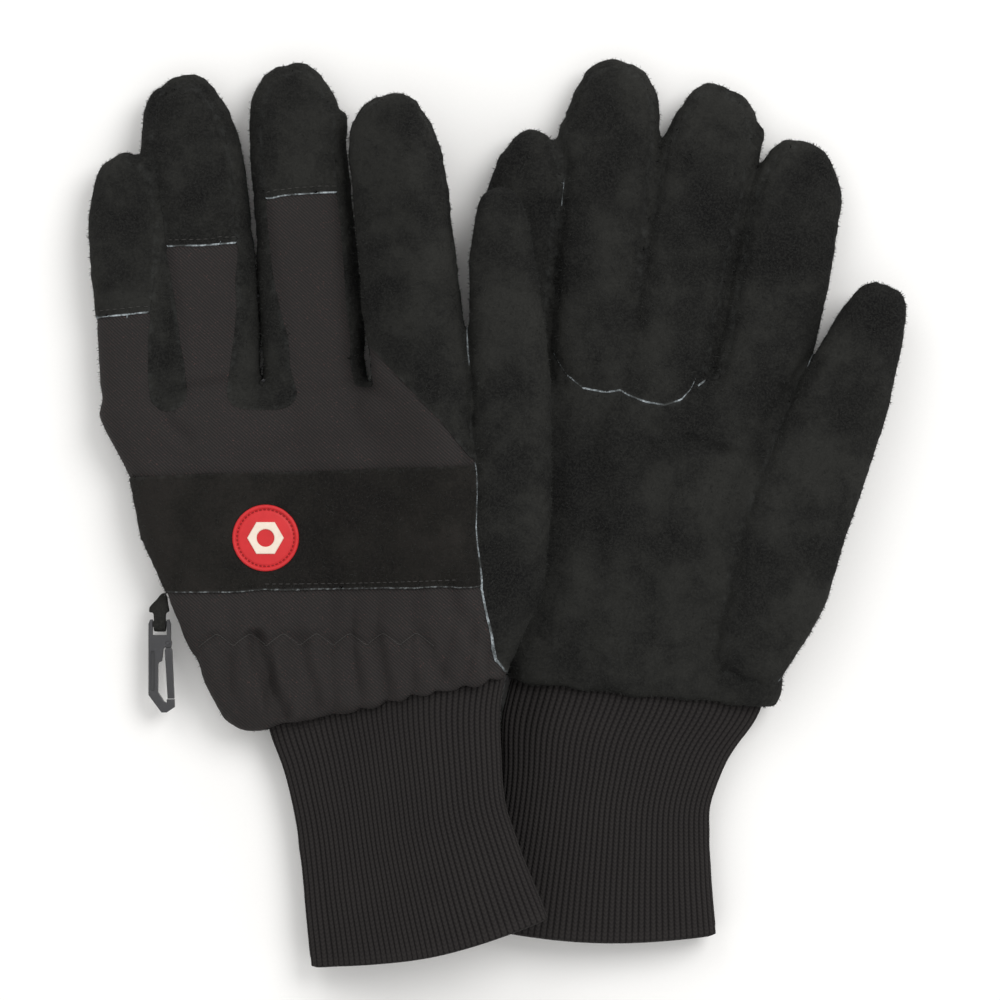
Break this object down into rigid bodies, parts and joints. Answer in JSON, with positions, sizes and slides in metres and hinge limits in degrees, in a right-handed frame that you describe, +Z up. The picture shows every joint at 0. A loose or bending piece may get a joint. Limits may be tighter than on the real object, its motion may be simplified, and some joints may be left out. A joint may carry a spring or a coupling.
{
  "type": "work gloves",
  "caption": "Pair of padded suede winter work gloves with stretch backs, knitted cuffs, a round rubber badge and a snap hook, one laid over the other.",
  "frame": {"origin": "centre of the pair's bounding box, on the floor that the gloves lie on", "axes": "+Y towards the fingertips, +X towards the right-hand glove, +Z up from the floor"},
  "size_m": [0.2518, 0.2815, 0.0387],
  "materials": {
    "stretch_fabric": "matt woven twill",
    "suede": "matt napped suede",
    "strap_leather": "matt napped suede, closer nap",
    "elastic": "matt",
    "fleece": "matt brushed fleece",
    "rib_knit": "matt rib knit",
    "badge_rubber": "satin",
    "motif_rubber": "satin",
    "tab_leather": "matt",
    "hook_plastic": "semi-gloss"
  },
  "bodies": {
    "right_glove": {"right_back_panel": "stretch_fabric", "right_index_back": "suede", "right_middle_cap": "suede", "right_ring_cap": "suede", "right_little_cap": "suede", "right_knuckle_strap": "strap_leather", "right_wrist_panel": "stretch_fabric", "right_wrist_elastic": "elastic", "right_palm_panel": "suede", "right_finger_front": "suede", "right_gusset_little_ring": "stretch_fabric", "right_gusset_ring_middle": "stretch_fabric", "right_gusset_middle_index": "stretch_fabric", "right_thumb_back": "suede", "right_thumb_front": "suede", "right_lining_back": "fleece", "right_lining_palm": "fleece", "right_lining_thumb": "fleece", "right_cuff": "rib_knit", "right_badge": "badge_rubber", "right_badge_motif": "motif_rubber"},
    "left_glove": {"left_back_panel": "stretch_fabric", "left_index_back": "suede", "left_middle_cap": "suede", "left_ring_cap": "suede", "left_little_cap": "suede", "left_knuckle_strap": "strap_leather", "left_wrist_panel": "stretch_fabric", "left_wrist_elastic": "elastic", "left_palm_panel": "suede", "left_finger_front": "suede", "left_gusset_little_ring": "stretch_fabric", "left_gusset_ring_middle": "stretch_fabric", "left_gusset_middle_index": "stretch_fabric", "left_thumb_back": "suede", "left_thumb_front": "suede", "left_lining_back": "fleece", "left_lining_palm": "fleece", "left_lining_thumb": "fleece", "left_cuff": "rib_knit", "left_badge": "badge_rubber", "left_badge_motif": "motif_rubber"},
    "hook_flap": {"hook_tab": "tab_leather"},
    "snap_hook": {"hook_body": "hook_plastic"},
    "gate": {"hook_gate": "hook_plastic"}
  },
  "joints": [
    {"name": "left_glove_lift", "type": "slide", "parent": "right_glove", "child": "left_glove", "axis": [0, 0, 1], "range_m": [0, 0.12]},
    {"name": "tab_hinge", "type": "hinge", "parent": "left_glove", "child": "hook_flap", "pos_m": [-0.1033, -0.0252, 0.0075], "axis": [-1, 0, 0], "range_deg": [0, 50]},
    {"name": "hook_swing", "type": "hinge", "parent": "hook_flap", "child": "snap_hook", "pos_m": [-0.1036, -0.0335, 0.0075], "axis": [-1, 0, 0], "range_deg": [0, 75]},
    {"name": "gate_hinge", "type": "hinge", "parent": "snap_hook", "child": "gate", "pos_m": [-0.1017, -0.0394, 0.0075], "axis": [0, 0, -1], "range_deg": [0, 5.5], "stiffness_Nm_per_rad": 0.01, "springref_deg": -5.73}
  ]
}
